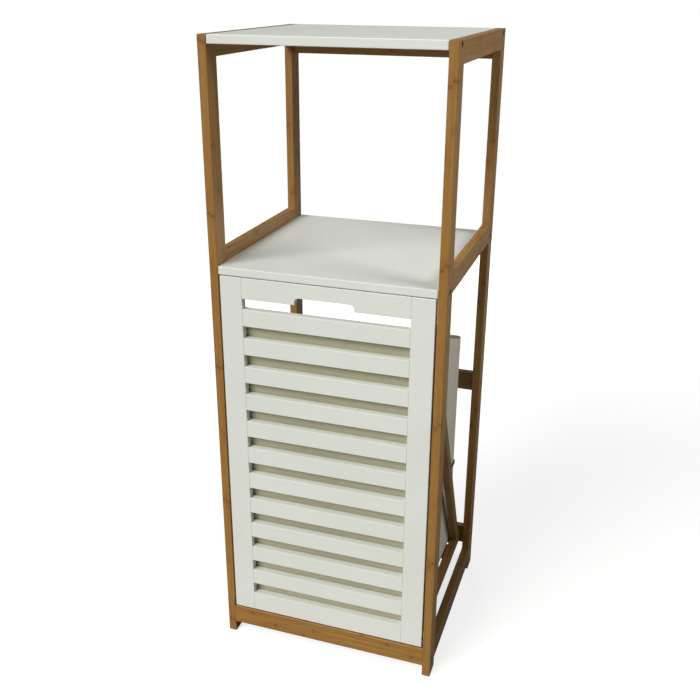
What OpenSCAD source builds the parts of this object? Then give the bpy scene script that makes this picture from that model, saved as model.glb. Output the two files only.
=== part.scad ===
// Tall bamboo stand with two white shelves and a tilt-out laundry hamper below.
// Z is up, the front faces -Y, and the origin is on the floor at the middle.

/* [Frame] */
// Width over the side frames
frame_w = 353; // [300:1:450]
// Depth from the front faces to the back faces of the posts
frame_d = 330; // [280:1:420]
// Height to the top of the posts
frame_h = 970; // [860:1:1180]
// Thickness of posts and side rails, across the stand
post_t = 13; // [12:0.5:20]
// Depth of a post, front to back
post_d = 30; // [26:1:45]
// Height of the rails that join two posts into a side frame
side_rail_h = 30; // [24:1:45]
// Floor to the underside of the bottom side rails
bottom_rail_z = 15; // [5:1:40]
// Radius along the edges of the bamboo bars
arris_r = 1; // [0.5:0.25:2]

/* [Shelves] */
// Thickness of both shelf boards
shelf_t = 12; // [10:0.5:18]
// Floor to the underside of the middle shelf
middle_shelf_z = 640; // [560:1:700]
// Radius on the shelves' corners, seen from above
shelf_corner_r = 3; // [1:0.5:8]

/* [Cross rails] */
// Thickness of the three back rails, front to back
back_rail_t = 12; // [10:1:16]
// Height of the back rail under the top shelf
back_top_rail_h = 32; // [24:1:50]
// Height of the back middle rail
back_middle_rail_h = 33; // [24:1:50]
// Floor to the underside of the back middle rail
back_middle_rail_z = 368; // [300:1:450]
// Height of the back bottom rail
back_bottom_rail_h = 35; // [24:1:50]
// Floor to the underside of the back bottom rail
back_bottom_rail_z = 51; // [40:1:80]
// Thickness of the front bottom rail, front to back
front_rail_t = 18; // [14:1:20]
// Height of the front bottom rail
front_rail_h = 33; // [24:1:40]
// Floor to the underside of the front bottom rail
front_rail_z = 19; // [10:1:30]
// Underside of the front bottom rail to its bolts
front_bolt_up = 8.5; // [8:0.5:12]

/* [Door] */
// Thickness of the slatted door
door_t = 12; // [10:0.5:16]
// Gap between the door and each post
door_side_gap = 2.5; // [1.5:0.5:4]
// Gap between the door and the front bottom rail
door_bottom_gap = 3; // [2.5:0.5:5]
// Gap between the door and the middle shelf
door_top_gap = 1.5; // [1.5:0.5:4]
// Width of a door stile
stile_w = 34; // [24:1:50]
// Height of the door's top rail
door_top_rail_h = 32; // [26:1:50]
// Height of the door's bottom rail
door_bottom_rail_h = 33; // [28:1:50]
// Number of slats
slat_count = 11; // [6:1:14]
// Height of one slat
slat_h = 26.3; // [18:0.1:30]
// Height of the hand slot at its ends
hand_slot_h = 16.3; // [12:0.1:30]
// Width of the raised notch over the hand slot
notch_w = 90; // [60:1:120]
// Height of the raised notch
notch_h = 10.5; // [5:0.5:12]
// Radius of the notch's two upper corners
notch_r = 7; // [2:0.5:9]

/* [Hinge] */
// Radius of the two pivot pins
pivot_r = 3; // [2.5:0.5:4]
// Radial clearance between a pin and its bush
pivot_clearance = 0.05; // [0.02:0.01:0.1]
// Wall of a pivot bush
bush_wall = 1.5; // [1:0.5:2]
// Height of the pivot above the door's lower edge
pivot_up = 8; // [7:0.5:12]
// Length of a pin inside the post
pin_in_post = 9; // [6:0.5:10]
// Angle that the hamper tilts out before the braces meet the stop pegs
tilt_open = 25; // [15:1:30]
// Radius of the stop pegs
peg_r = 5; // [4:0.5:6]

/* [Hamper] */
// Width of the braces and base bars, across the stand
bar_t = 12; // [10:0.5:14]
// Height of the base bars and depth of the braces
bar_h = 18; // [14:1:24]
// Gap between a brace and the post beside it
brace_gap = 4; // [3:0.5:6]
// Floor to the underside of the base bars
base_z = 69; // [66:1:90]
// Door's back to the rear end of the base bars
base_reach = 272; // [220:1:290]
// Lean of the braces from upright
brace_lean = 27; // [20:0.5:30]
// Setback of a brace's lower end from the rear end of its base bar
brace_setback = 5; // [2:1:12]
// Depth of the bag's bed below the tops of the base bars
bed_drop = 6; // [2:0.5:8]
// Number of slats that carry the bag
base_slat_count = 3; // [2:1:5]
// Width of a base slat
base_slat_w = 40; // [25:1:55]
// Thickness of a base slat
base_slat_t = 5; // [4:0.5:8]

/* [Bag] */
// Thickness of the bag's stiffened cloth wall
bag_wall = 2.5; // [1.5:0.5:4]
// Gap between the bag and each brace
bag_side_gap = 3; // [2:0.5:6]
// Door's back to the bag's rear face
bag_reach = 265; // [200:1:275]
// Floor to the bag's rim at the front
bag_front_z = 584; // [500:1:586]
// Fall of the rim towards the back
rim_fall = 21.4; // [10:0.1:25]
// Radius on the bag's upright corners
bag_corner_r = 18; // [8:1:30]
// Thickness of the hook-and-loop tape that holds the bag to the door
tape_t = 1.5; // [1:0.25:3]
// Height of the hook-and-loop tape
tape_h = 20; // [12:1:24]
// Length of the hook-and-loop tape
tape_l = 220; // [120:1:240]
// Radius of the steel wire sewn into the rim
rim_wire_r = 2; // [1:0.25:3]
// Width of the strap behind the bag
strap_w = 8; // [6:1:20]
// Thickness of the strap
strap_t = 1.2; // [0.8:0.1:2]
// Floor to the middle of the strap
strap_z = 240; // [180:1:330]

/* [Catch] */
// Width of the magnetic catch, across the stand
catch_w = 40; // [30:1:60]
// Depth of the magnetic catch
catch_d = 15; // [12:1:20]
// Height of the magnetic catch
catch_h = 13; // [10:1:16]
// Gap between the closed strike plate and the magnet
catch_gap = 0.4; // [0.3:0.1:1]
// Thickness of the strike plate
strike_t = 1; // [0.6:0.1:2]

/* [Fittings] */
// Radius of the frame bolts
bolt_r = 3; // [2.5:0.25:3]
// Radius of a bolt's head
bolt_head_r = 4.5; // [4:0.25:5]
// Height of a bolt's head
bolt_head_h = 4; // [3:0.5:5]
// Depth that a bolt's head sits below the post's face
bolt_sink = 0.8; // [0.5:0.1:2]
// Length of a bolt's shank beyond the post's inner face
bolt_reach = 32; // [28:1:40]
// Radius of the barrel nuts
nut_r = 5; // [4:0.5:5]
// Radius of the wooden dowels in the frame
dowel_r = 3; // [2.5:0.25:3.5]
// Length of a cross rail's dowel inside the post
dowel_in_post = 9; // [6:0.5:10]
// Length of a wooden dowel in the frame
dowel_l = 30; // [20:1:40]
// Radius of the wooden dowels in the door
door_dowel_r = 2.5; // [2:0.5:3]
// Length of a wooden dowel in the door
door_dowel_l = 24; // [16:1:30]
// Radius of a wood screw's shank
screw_r = 1.6; // [1.25:0.05:2]
// Radius of a wood screw's head
screw_head_r = 3.2; // [2.5:0.1:4]

/* [Hidden] */
$fn = 48;

BAMBOO = [0.62, 0.46, 0.27];
WHITE = [0.88, 0.88, 0.85];
STEEL = [0.6, 0.6, 0.62];
BEECH = [0.80, 0.66, 0.47];
NYLON = [0.30, 0.22, 0.16];
cut = 1; // how far a cutting tool runs past the face that it enters
screw_head_h = 2;
hex_r = 2.3; // hexagon socket in a bolt's head, across its corners
hex_deep = 2.5;
fit_gap = 0.2; // radial room round a bolt in its hole

// Frame
out_x = frame_w / 2;
in_x = out_x - post_t;
front_y = -frame_d / 2;
back_y = frame_d / 2;
post_y = back_y - post_d / 2;
top_shelf_z = frame_h - shelf_t;
top_rail_z = frame_h - side_rail_h;
back_top_rail_z = top_shelf_z - back_top_rail_h;
front_rail_y = front_y + front_rail_t / 2;
front_rail_top = front_rail_z + front_rail_h;
side_rail_l = frame_d - 2 * post_d;
side_dowel_in = post_d / 2 - bolt_head_r - 0.5; // stops short of the bolts that cross the post
side_dowel_step = 8; // each side of a side rail's middle
cross_dowel_step = 10; // each side of a back rail's middle
dowel_in_rail = dowel_l - dowel_in_post;

// Where bolts and dowels cross the posts, as [y, z]
SHELF_BOLTS = [
    for (z = [top_shelf_z + shelf_t / 2, middle_shelf_z + shelf_t / 2]) for (y = [-post_y, post_y]) [y, z]
];
FRONT_BOLTS = [[front_rail_y, front_rail_z + front_bolt_up]];
BACK_RAILS_BOLTED = [
    [post_y, back_middle_rail_z + back_middle_rail_h / 2],
    [post_y, back_bottom_rail_z + back_bottom_rail_h / 2]
];
BOLTS = concat(SHELF_BOLTS, FRONT_BOLTS, BACK_RAILS_BOLTED);
CROSS_DOWELS = concat(
    [[front_rail_y, front_rail_top - front_bolt_up]],
    [for (b = BACK_RAILS_BOLTED) for (s = [-1, 1]) [b[0], b[1] + s * cross_dowel_step]],
    [for (s = [-1, 1]) [post_y, back_top_rail_z + back_top_rail_h / 2 + s * side_dowel_step]]
);
SIDE_RAILS = [top_rail_z, middle_shelf_z, bottom_rail_z];
nut_l = 10;
nut_x = in_x - bolt_reach + nut_l; // the barrel nuts' axes

// Door
door_x = in_x - door_side_gap;
door_z = front_rail_top + door_bottom_gap;
door_top = middle_shelf_z - door_top_gap;
door_back = front_y + door_t;
door_y = front_y + door_t / 2;
stile_x = door_x - stile_w; // inner edge of a stile
door_top_rail_z = door_top - door_top_rail_h;
hand_slot_z = door_top_rail_z - hand_slot_h;
bottom_rail_top = door_z + door_bottom_rail_h;
slat_pitch = (hand_slot_z - bottom_rail_top) / slat_count;
door_dowel_in = door_dowel_l / 2;

// Hinge
pivot_z = door_z + pivot_up;
bush_in = pivot_r + pivot_clearance;
bush_out = bush_in + bush_wall;
bush_flange_r = bush_out + 1.3;
bush_flange_t = 1;
bush_end_t = 0.5; // closed end of a bush
bush_end_gap = 0.5; // between a pin's end and its bush's closed end
pin_in_door = stile_w - door_dowel_in - 2; // stops short of the door's dowels

// Hamper
brace_x = in_x - brace_gap; // outer faces of braces and base bars
bar_in_x = brace_x - bar_t;
bar_mid_x = brace_x - bar_t / 2;
base_top = base_z + bar_h;
bed_z = base_top - bed_drop; // tops of the cross bars and of the slats
bed_screw_z = (base_z + bed_z) / 2;
base_end = door_back + base_reach;
brace_foot = base_end - brace_setback;
brace_run = bar_h / cos(brace_lean); // depth of a brace along its level foot
brace_top = base_top + (brace_foot - door_back) / tan(brace_lean);
brace_heel = brace_top - brace_run / tan(brace_lean);
base_screw_x = 100; // middle of the stand to the outer screws in the door's bottom rail
screw_in_end_grain = 16;
screw_in_board = 8;
slat_room = base_reach - 2 * bar_t;
base_slat_pitch = slat_room / base_slat_count;
slat_housing = 5;

// The stop pegs meet the braces' lower faces at the full tilt, less stop_gap.
stop_gap = 0.3;
peg_in_post = 9;
peg_under_brace = 8; // length of a peg that a brace can meet
peg_reach = brace_gap + peg_under_brace;
peg_y = front_y + 20;
face_from_pivot = (brace_foot - brace_run - door_y) * cos(brace_lean) + (base_top - pivot_z) * sin(brace_lean);
open_lean = brace_lean + tilt_open;
peg_z = pivot_z + (face_from_pivot - peg_r - stop_gap - (peg_y - door_y) * cos(open_lean)) / sin(open_lean);

// Bag
bag_x = bar_in_x - bag_side_gap;
bag_front = door_back + tape_t;
bag_back = door_back + bag_reach;
bag_foot_gap = 0.3; // between the bag and its bed
bag_z = bed_z + bag_foot_gap;
tape_up = 2; // the tape's lower edge above that of the top slat
wire_gap = 0.3; // between the wire and the bag's wall
wire_inset = bag_wall + wire_gap + rim_wire_r;
wire_drop = 5.5; // rim edge straight down to the middle of the wire
wire_x = bag_x - wire_inset;
wire_l = (bag_back - bag_front - 2 * wire_inset) / cos(rim_fall);
wire_bend_r = bag_corner_r - wire_inset + 2;
strap_leg_y = brace_foot - brace_run - (strap_z - base_top) * tan(brace_lean); // the strap's ends, at the brace
strap_gap = 0.3;
strap_head_h = 1; // low heads that clear the bag
strap_head_r = screw_head_r - 0.7;

// Catch: the magnet's two pole plates reach catch_proud past its plastic body
catch_front = door_back + strike_t + catch_gap;
catch_z = middle_shelf_z - catch_h;
catch_proud = 0.5;
catch_screw_x = catch_w / 2 - 4;
catch_screw_y = catch_front + catch_d / 2;
magnet_w = 20;
magnet_d = 10;
magnet_h = 6;
magnet_z = catch_z + (catch_h - magnet_h) / 2;
pole_t = 1.5;
catch_bottom_t = 1; // below the heads of the catch's screws
catch_screw_top = middle_shelf_z + shelf_t - 3;
strike_w = 30;
strike_h = 10;
strike_mid_z = door_top - 1 - strike_h / 2; // the plate ends 1 mm below the door's top
strike_screw_in = door_t - 3;
strike_head_r = screw_head_r - 1;
plate_corner_r = 2;

// A rectangle with round corners, its middle at the origin
module rounded_rect(w, d, r) {
    square([w - 2 * r, d], center = true);
    square([w, d - 2 * r], center = true);
    for (x = [-1, 1]) for (y = [-1, 1]) translate([x * (w / 2 - r), y * (d / 2 - r)]) circle(r);
}

// Bars with rounded long edges: an upright one from z = 0, and level ones centred on the origin
module upright(w, d, l) { linear_extrude(l) rounded_rect(w, d, arris_r); }
module bar_along_y(w, h, l) { rotate([90, 0, 0]) linear_extrude(l, center = true) rounded_rect(w, h, arris_r); }
module bar_along_x(d, h, l) {
    rotate([90, 0, 90]) linear_extrude(l, center = true) rounded_rect(d, h, arris_r);
}

// A rod along X from x1 to x2, at height z and depth y
module rod_x(r, x1, x2, y, z) { translate([x1, y, z]) rotate([0, 90, 0]) cylinder(r = r, h = x2 - x1); }
module rod_y(r, y1, y2, x, z) { translate([x, y1, z]) rotate([-90, 0, 0]) cylinder(r = r, h = y2 - y1); }
module rod_z(r, z1, z2, x, y) { translate([x, y, z1]) cylinder(r = r, h = z2 - z1); }

// The right-hand piece, and its mirror image on the left
module left() { mirror([1, 0, 0]) children(); }
module both() {
    children();
    left() children();
}

// Room for the bolts of the right-hand side, through the post and into the boards and rails
module bolt_holes() {
    for (b = BOLTS) {
        rod_x(bolt_r + fit_gap, in_x - bolt_reach - 1, out_x + cut, b[0], b[1]);
        rod_x(bolt_head_r + fit_gap, out_x - bolt_sink - bolt_head_h, out_x + cut, b[0], b[1]);
    }
}

module cross_dowels() {
    for (d = CROSS_DOWELS) rod_x(dowel_r, in_x - dowel_in_rail, in_x + dowel_in_post, d[0], d[1]);
}

module side_dowels() {
    for (z = SIDE_RAILS) for (s = [-1, 1]) for (e = [-1, 1])
        rod_y(dowel_r, e * side_rail_l / 2 - side_dowel_in, e * side_rail_l / 2 + side_dowel_in,
            in_x + post_t / 2, z + side_rail_h / 2 + s * side_dowel_step);
}

// A post of the right-hand side frame: at = 1 for the back one, -1 for the front one
module post(at) {
    color(BAMBOO) difference() {
        translate([in_x + post_t / 2, at * post_y, 0]) upright(post_t, post_d, frame_h);
        bolt_holes();
        cross_dowels();
        side_dowels();
        rod_x(bush_out, in_x - cut, in_x + pin_in_post + bush_end_gap + bush_end_t, door_y, pivot_z);
        rod_x(peg_r, in_x - cut, in_x + peg_in_post, peg_y, peg_z);
    }
}

module side_rail(z) {
    color(BAMBOO) difference() {
        translate([in_x + post_t / 2, 0, z + side_rail_h / 2]) bar_along_y(post_t, side_rail_h, side_rail_l);
        side_dowels();
    }
}

module side_frame_dowels() { color(BEECH) both() side_dowels(); }
module cross_rail_dowels() { color(BEECH) both() cross_dowels(); }

// Room for barrel nuts, let in from a cross rail's rear face
module rail_nut_holes(bolts, thick) {
    for (b = bolts) rod_y(nut_r, b[0] - nut_l / 2, b[0] + thick, nut_x, b[1]);
}

module cross_rail(y, z, thick, high, bolts) {
    color(BAMBOO) difference() {
        translate([0, y, z + high / 2]) bar_along_x(thick, high, 2 * in_x);
        both() {
            bolt_holes();
            cross_dowels();
            rail_nut_holes(bolts, thick);
        }
    }
}

module front_bottom_rail() { cross_rail(front_rail_y, front_rail_z, front_rail_t, front_rail_h, FRONT_BOLTS); }
module back_top_rail() { cross_rail(post_y, back_top_rail_z, back_rail_t, back_top_rail_h, []); }
module back_middle_rail() {
    cross_rail(post_y, back_middle_rail_z, back_rail_t, back_middle_rail_h, [BACK_RAILS_BOLTED[0]]);
}
module back_bottom_rail() {
    cross_rail(post_y, back_bottom_rail_z, back_rail_t, back_bottom_rail_h, [BACK_RAILS_BOLTED[1]]);
}

// A shelf board, bolted between the side frames, with its nuts let in from below
module shelf(z) {
    color(WHITE) difference() {
        translate([0, 0, z]) linear_extrude(shelf_t) rounded_rect(2 * in_x, frame_d, shelf_corner_r);
        both() {
            bolt_holes();
            for (y = [-post_y, post_y])
                rod_z(nut_r, z - cut, z + shelf_t / 2 + nut_l / 2, nut_x, y);
        }
    }
}

module top_shelf() { shelf(top_shelf_z); }
module middle_shelf() {
    difference() {
        shelf(middle_shelf_z);
        catch_screw_pair();
    }
}

module frame_bolts() {
    color(STEEL) both() for (b = BOLTS) difference() {
        head_x = out_x - bolt_sink - bolt_head_h;
        union() {
            rod_x(bolt_r, in_x - bolt_reach, out_x - bolt_sink, b[0], b[1]);
            rod_x(bolt_head_r, head_x, out_x - bolt_sink, b[0], b[1]);
        }
        translate([out_x - bolt_sink - hex_deep, b[0], b[1]]) rotate([0, 90, 0])
            cylinder(r = hex_r, h = hex_deep + cut, $fn = 6);
    }
}

// Barrel nuts, each with the threaded hole that its bolt runs through
module barrel_nuts() {
    color(STEEL) both() {
        for (b = SHELF_BOLTS) difference() {
            rod_z(nut_r, b[1] - nut_l / 2, b[1] + nut_l / 2, nut_x, b[0]);
            rod_x(bolt_r, nut_x - nut_r - cut, nut_x + nut_r + cut, b[0], b[1]);
        }
        for (b = concat(FRONT_BOLTS, BACK_RAILS_BOLTED)) difference() {
            rod_y(nut_r, b[0] - nut_l / 2, b[0] + nut_l / 2, nut_x, b[1]);
            rod_x(bolt_r, nut_x - nut_r - cut, nut_x + nut_r + cut, b[0], b[1]);
        }
    }
}

module pivot_bushes() {
    color(NYLON) both() difference() {
        union() {
            rod_x(bush_out, in_x, in_x + pin_in_post + bush_end_gap + bush_end_t, door_y, pivot_z);
            rod_x(bush_flange_r, in_x - bush_flange_t, in_x, door_y, pivot_z);
        }
        rod_x(bush_in, in_x - bush_flange_t - cut, in_x + pin_in_post + bush_end_gap, door_y, pivot_z);
    }
}

module pivot_pins() { color(STEEL) both() rod_x(pivot_r, door_x - pin_in_door, in_x + pin_in_post, door_y, pivot_z); }
module stop_pegs() { color(BEECH) both() rod_x(peg_r, in_x - peg_reach, in_x + peg_in_post, peg_y, peg_z); }

module catch_screw_pair() {
    both() {
        head_z = catch_z + catch_bottom_t;
        rod_z(screw_r, head_z, catch_screw_top, catch_screw_x, catch_screw_y);
        rod_z(screw_head_r, head_z, head_z + screw_head_h, catch_screw_x, catch_screw_y);
    }
}

// The magnet between its pole plates
module magnet_stack() {
    translate([-magnet_w / 2, catch_front + catch_proud, magnet_z])
        cube([magnet_w, magnet_d - catch_proud, magnet_h]);
    for (z = [magnet_z - pole_t, magnet_z + magnet_h])
        translate([-magnet_w / 2, catch_front, z]) cube([magnet_w, magnet_d, pole_t]);
}

module catch_body() {
    color(NYLON) difference() {
        translate([0, catch_front + catch_proud + catch_d / 2, catch_z]) linear_extrude(catch_h)
            rounded_rect(catch_w, catch_d, plate_corner_r);
        translate([-magnet_w / 2, catch_front, magnet_z - pole_t])
            cube([magnet_w, magnet_d, magnet_h + 2 * pole_t]);
        catch_screw_pair();
        both() rod_z(screw_head_r + fit_gap, catch_z - cut, catch_z + catch_bottom_t + screw_head_h,
            catch_screw_x, catch_screw_y);
    }
}

module catch_magnet() { color([0.25, 0.25, 0.27]) magnet_stack(); }
module catch_screws() { color(STEEL) catch_screw_pair(); }

module strike_screw() {
    color(STEEL) {
        rod_y(screw_r, door_back - strike_screw_in, door_back + strike_t, 0, strike_mid_z);
        rod_y(strike_head_r, door_back, door_back + strike_t, 0, strike_mid_z);
    }
}
module strike_plate() {
    color(STEEL) difference() {
        translate([0, door_back + strike_t, strike_mid_z]) rotate([90, 0, 0])
            linear_extrude(strike_t) rounded_rect(strike_w, strike_h, plate_corner_r);
        rod_y(strike_head_r, door_back - cut, door_back + strike_t + cut, 0, strike_mid_z);
    }
}

// Door: two stiles, two rails and the slats between them, held by dowels
function slat_z(i) = hand_slot_z - slat_h - (i - 1) * slat_pitch;

module door_dowel_row() {
    levels = concat(
        [for (i = [1:slat_count]) slat_z(i) + slat_h / 2],
        [for (s = [-1, 1]) door_top_rail_z + notch_h + (door_top_rail_h - notch_h) / 2 + 5 * s],
        [for (s = [-1, 1]) door_z + door_bottom_rail_h / 2 + side_dowel_step * s]
    );
    for (z = levels) rod_x(door_dowel_r, stile_x - door_dowel_in, stile_x + door_dowel_in, door_y, z);
}

module door_board(x1, x2, z1, z2) { translate([x1, front_y, z1]) cube([x2 - x1, door_t, z2 - z1]); }

module stile() {
    color(WHITE) difference() {
        door_board(stile_x, door_x, door_z, door_top);
        door_dowel_row();
        rod_x(pivot_r, door_x - pin_in_door, door_x + cut, door_y, pivot_z);
        brace_screw_pair();
    }
}

module crossing_board(z1, z2) {
    color(WHITE) difference() {
        door_board(-stile_x, stile_x, z1, z2);
        both() door_dowel_row();
        children();
    }
}

module notch() {
    translate([0, door_back + cut, door_top_rail_z]) rotate([90, 0, 0])
        linear_extrude(door_t + 2 * cut) rounded_rect(notch_w, 2 * notch_h, min(notch_r, notch_h - 1));
}

module door_top_rail() { crossing_board(door_top_rail_z, door_top) { notch(); strike_screw(); } }
module door_bottom_rail() { crossing_board(door_z, bottom_rail_top) base_to_door_screws(); }
module slat(i) { crossing_board(slat_z(i), slat_z(i) + slat_h); }
module door_dowels() { color(BEECH) both() door_dowel_row(); }

// Base: a rectangle of bars screwed together and to the door's back, with slats let into the side bars
module base_slat_set() {
    for (i = [0:base_slat_count - 1])
        translate([0, door_back + bar_t + (i + 0.5) * base_slat_pitch, bed_z - base_slat_t / 2])
            cube([2 * (bar_in_x + slat_housing), base_slat_w, base_slat_t], center = true);
}

module base_side_screws() {
    for (y = [door_back + bar_t / 2, base_end - bar_t / 2]) {
        rod_x(screw_r, bar_in_x - screw_in_end_grain, brace_x, y, bed_screw_z);
        rod_x(screw_head_r, brace_x - screw_head_h, brace_x, y, bed_screw_z);
    }
}

module base_to_door_screws() {
    for (x = [-base_screw_x, 0, base_screw_x]) {
        rod_y(screw_r, door_back - screw_in_board, door_back + bar_t, x, bed_screw_z);
        rod_y(screw_head_r, door_back + bar_t - screw_head_h, door_back + bar_t, x, bed_screw_z);
    }
}

module base_bar() {
    color(BAMBOO) difference() {
        translate([bar_mid_x, (door_back + base_end) / 2, base_z + bar_h / 2])
            bar_along_y(bar_t, bar_h, base_reach);
        base_slat_set();
        base_side_screws();
        brace_foot_screw();
    }
}

module base_cross_bar(y) {
    color(BAMBOO) difference() {
        translate([0, y, (base_z + bed_z) / 2]) bar_along_x(bar_t, bed_z - base_z, 2 * bar_in_x);
        both() base_side_screws();
        base_to_door_screws();
    }
}

module base_front_bar() { base_cross_bar(door_back + bar_t / 2); }
module base_rear_bar() { base_cross_bar(base_end - bar_t / 2); }
module base_slats() { color(BAMBOO) base_slat_set(); }
module base_screws() {
    color(STEEL) {
        both() base_side_screws();
        base_to_door_screws();
    }
}

// Braces: from the rear end of a base bar up to the door's back
brace_screw_steps = [20, 34]; // below the brace's upper tip
brace_screw_sink = 5; // seat of a screw's head, in from the brace's sloping face
screw_in_brace = 14;
function brace_face_y(z) = brace_foot - (z - base_top) * tan(brace_lean);

module brace_screw_pair() {
    for (step = brace_screw_steps) {
        z = brace_top - step;
        seat = brace_face_y(z) - brace_screw_sink;
        rod_y(screw_r, door_back - screw_in_board, seat + screw_head_h, bar_mid_x, z);
        rod_y(screw_head_r, seat, seat + screw_head_h, bar_mid_x, z);
    }
}

module brace_foot_screw() {
    y = brace_foot - brace_run / 2;
    rod_z(screw_r, base_z, base_top + screw_in_brace, bar_mid_x, y);
    rod_z(screw_head_r, base_z, base_z + screw_head_h, bar_mid_x, y);
}

module brace() {
    color(BAMBOO) difference() {
        translate([bar_in_x, 0, 0]) rotate([90, 0, 90]) linear_extrude(bar_t) polygon([
            [brace_foot, base_top], [door_back, brace_top],
            [door_back, brace_heel], [brace_foot - brace_run, base_top]
        ]);
        brace_screw_pair();
        for (step = brace_screw_steps) {
            z = brace_top - step;
            rod_y(screw_head_r, brace_face_y(z) - brace_screw_sink, brace_face_y(z) + 2 * brace_screw_sink, bar_mid_x, z);
        }
        brace_foot_screw();
        strap_screw();
    }
}

module brace_screws() {
    color(STEEL) both() {
        brace_screw_pair();
        brace_foot_screw();
    }
}

// Bag: a stiffened cloth box whose rim falls towards the back
module bag_block(inset, z) {
    translate([0, (bag_front + bag_back) / 2, z]) linear_extrude(bag_front_z)
        rounded_rect(2 * (bag_x - inset), bag_back - bag_front - 2 * inset, bag_corner_r - inset);
}

module laundry_bag() {
    color([0.80, 0.78, 0.70]) difference() {
        bag_block(0, bag_z);
        bag_block(bag_wall, bag_z + bag_wall);
        translate([0, bag_front, bag_front_z]) rotate([-rim_fall, 0, 0])
            translate([-frame_w, -frame_d, 0]) cube([2 * frame_w, 3 * frame_d, frame_h]);
    }
}

// The rim wire is a closed rounded rectangle that lies in the plane of the rim.
module rim_wire() {
    side = wire_x - wire_bend_r;
    run = wire_l / 2 - wire_bend_r;
    mid_y = (bag_front + bag_back) / 2;
    color(STEEL) translate([0, mid_y, bag_front_z - (mid_y - bag_front) * tan(rim_fall) - wire_drop])
        rotate([-rim_fall, 0, 0]) {
            for (s = [-1, 1]) {
                rod_y(rim_wire_r, -run, run, s * wire_x, 0);
                rod_x(rim_wire_r, -side, side, s * wire_l / 2, 0);
            }
            for (q = [[1, 1, 0], [-1, 1, 90], [-1, -1, 180], [1, -1, 270]])
                translate([q[0] * side, q[1] * run, 0]) rotate([0, 0, q[2]])
                    rotate_extrude(angle = 90) translate([wire_bend_r, 0]) circle(rim_wire_r);
        }
}

module hook_and_loop_tape() {
    color([0.2, 0.19, 0.17]) translate([-tape_l / 2, door_back, hand_slot_z - slat_h + tape_up])
        cube([tape_l, tape_t, tape_h]);
}

// Strap: from one brace round the back of the bag to the other
module bag_strap() {
    loop_mid = (bag_front + bag_back) / 2;
    loop_d = bag_back - bag_front + 2 * (strap_gap + strap_t);
    color([0.25, 0.2, 0.15]) difference() {
        translate([0, loop_mid, strap_z - strap_w / 2]) linear_extrude(strap_w) difference() {
            rounded_rect(2 * bar_in_x, loop_d, bag_corner_r);
            rounded_rect(2 * (bar_in_x - strap_t), loop_d - 2 * strap_t, bag_corner_r - strap_t);
        }
        translate([-frame_w, strap_leg_y - frame_d, 0]) cube([2 * frame_w, frame_d, frame_h]);
        both() strap_screw();
    }
}

module strap_screw() {
    y = strap_leg_y + brace_run / 2;
    rod_x(screw_r, bar_in_x - strap_t - strap_head_h, bar_in_x + screw_in_board, y, strap_z);
    rod_x(strap_head_r, bar_in_x - strap_t - strap_head_h, bar_in_x - strap_t, y, strap_z);
}

module strap_screws() { color(STEEL) both() strap_screw(); }

left() post(-1);  // post_front_left
post(-1);  // post_front_right
left() post(1);  // post_back_left
post(1);  // post_back_right
left() side_rail(top_rail_z);  // top_rail_left
side_rail(top_rail_z);  // top_rail_right
left() side_rail(middle_shelf_z);  // middle_rail_left
side_rail(middle_shelf_z);  // middle_rail_right
left() side_rail(bottom_rail_z);  // bottom_rail_left
side_rail(bottom_rail_z);  // bottom_rail_right
side_frame_dowels();
front_bottom_rail();
back_top_rail();
back_middle_rail();
back_bottom_rail();
cross_rail_dowels();
top_shelf();
middle_shelf();
frame_bolts();
barrel_nuts();
pivot_bushes();
stop_pegs();
catch_body();
catch_magnet();
catch_screws();
left() stile();  // door_stile_left
stile();  // door_stile_right
door_top_rail();
door_bottom_rail();
slat(1);  // slat_01
slat(2);  // slat_02
slat(3);  // slat_03
slat(4);  // slat_04
slat(5);  // slat_05
slat(6);  // slat_06
slat(7);  // slat_07
slat(8);  // slat_08
slat(9);  // slat_09
slat(10);  // slat_10
slat(11);  // slat_11
door_dowels();
pivot_pins();
strike_plate();
strike_screw();
left() base_bar();  // base_bar_left
base_bar();  // base_bar_right
base_front_bar();
base_rear_bar();
base_slats();
base_screws();
left() brace();  // brace_left
brace();  // brace_right
brace_screws();
laundry_bag();
rim_wire();
hook_and_loop_tape();
bag_strap();
strap_screws();
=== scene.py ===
"""Bamboo stand with two white shelves and a tilt-out laundry hamper: its finishes, cloth and camera."""
import math

import bmesh
import bpy
from mathutils import Matrix, Vector, noise


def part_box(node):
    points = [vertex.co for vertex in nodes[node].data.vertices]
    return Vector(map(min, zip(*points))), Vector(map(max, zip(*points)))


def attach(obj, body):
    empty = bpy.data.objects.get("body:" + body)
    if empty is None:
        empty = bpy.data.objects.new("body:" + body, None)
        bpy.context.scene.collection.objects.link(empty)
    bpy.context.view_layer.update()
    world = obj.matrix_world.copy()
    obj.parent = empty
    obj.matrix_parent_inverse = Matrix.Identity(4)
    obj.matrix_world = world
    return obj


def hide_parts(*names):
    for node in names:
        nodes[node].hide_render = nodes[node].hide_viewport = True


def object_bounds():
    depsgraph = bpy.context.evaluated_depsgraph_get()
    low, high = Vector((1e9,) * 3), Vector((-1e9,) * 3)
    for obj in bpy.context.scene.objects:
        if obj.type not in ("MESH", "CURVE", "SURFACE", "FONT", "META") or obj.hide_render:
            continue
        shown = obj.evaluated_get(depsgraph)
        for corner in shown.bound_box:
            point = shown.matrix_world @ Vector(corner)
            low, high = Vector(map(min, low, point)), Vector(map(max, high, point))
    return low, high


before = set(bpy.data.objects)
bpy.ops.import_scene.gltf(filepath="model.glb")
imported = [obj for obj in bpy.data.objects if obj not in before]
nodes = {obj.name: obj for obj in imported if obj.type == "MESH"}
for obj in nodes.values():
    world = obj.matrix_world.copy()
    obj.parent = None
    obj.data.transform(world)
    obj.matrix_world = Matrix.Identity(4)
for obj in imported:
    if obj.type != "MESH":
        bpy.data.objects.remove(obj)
cad_low, cad_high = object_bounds()
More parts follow.
